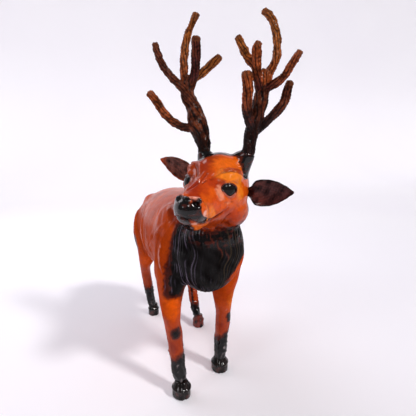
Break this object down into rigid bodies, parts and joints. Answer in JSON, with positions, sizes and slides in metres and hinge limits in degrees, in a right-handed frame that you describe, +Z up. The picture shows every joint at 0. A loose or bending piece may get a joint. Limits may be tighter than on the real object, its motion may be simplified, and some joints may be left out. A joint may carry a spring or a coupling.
{
  "type": "reindeer figurine",
  "caption": "Leather-covered reindeer figurine, walking, with its head turned to its right, branched antlers, cupped ears and hoof caps; stands on a table or shelf.",
  "frame": {"origin": "middle of the whole footprint's bounding box, on the surface that the hooves stand on", "axes": "+Z up; the stag walks towards -Y, its own left side is towards +X, and its head is turned to its right, towards -X"},
  "size_m": [0.1298, 0.2866, 0.4123],
  "materials": {
    "body_leather": "glossy tan leather shrunk over a hard core, dyed black-brown on the chest, muzzle and lower legs",
    "antler_leather": "dark brown leather strips wound into branches, with paler ochre tips",
    "ear_leather": "dark maroon-brown leather with a satin shine",
    "eye_glass": "opaque black glass bead",
    "hoof_leather": "glossy black leather"
  },
  "bodies": {
    "root": {"body": "body_leather", "antler_right": "antler_leather", "antler_left": "antler_leather", "ear_right": "ear_leather", "ear_left": "ear_leather", "eye_right": "eye_glass", "eye_left": "eye_glass", "hoof_front_right": "hoof_leather", "hoof_front_left": "hoof_leather", "hoof_hind_right": "hoof_leather", "hoof_hind_left": "hoof_leather"}
  },
  "joints": []
}
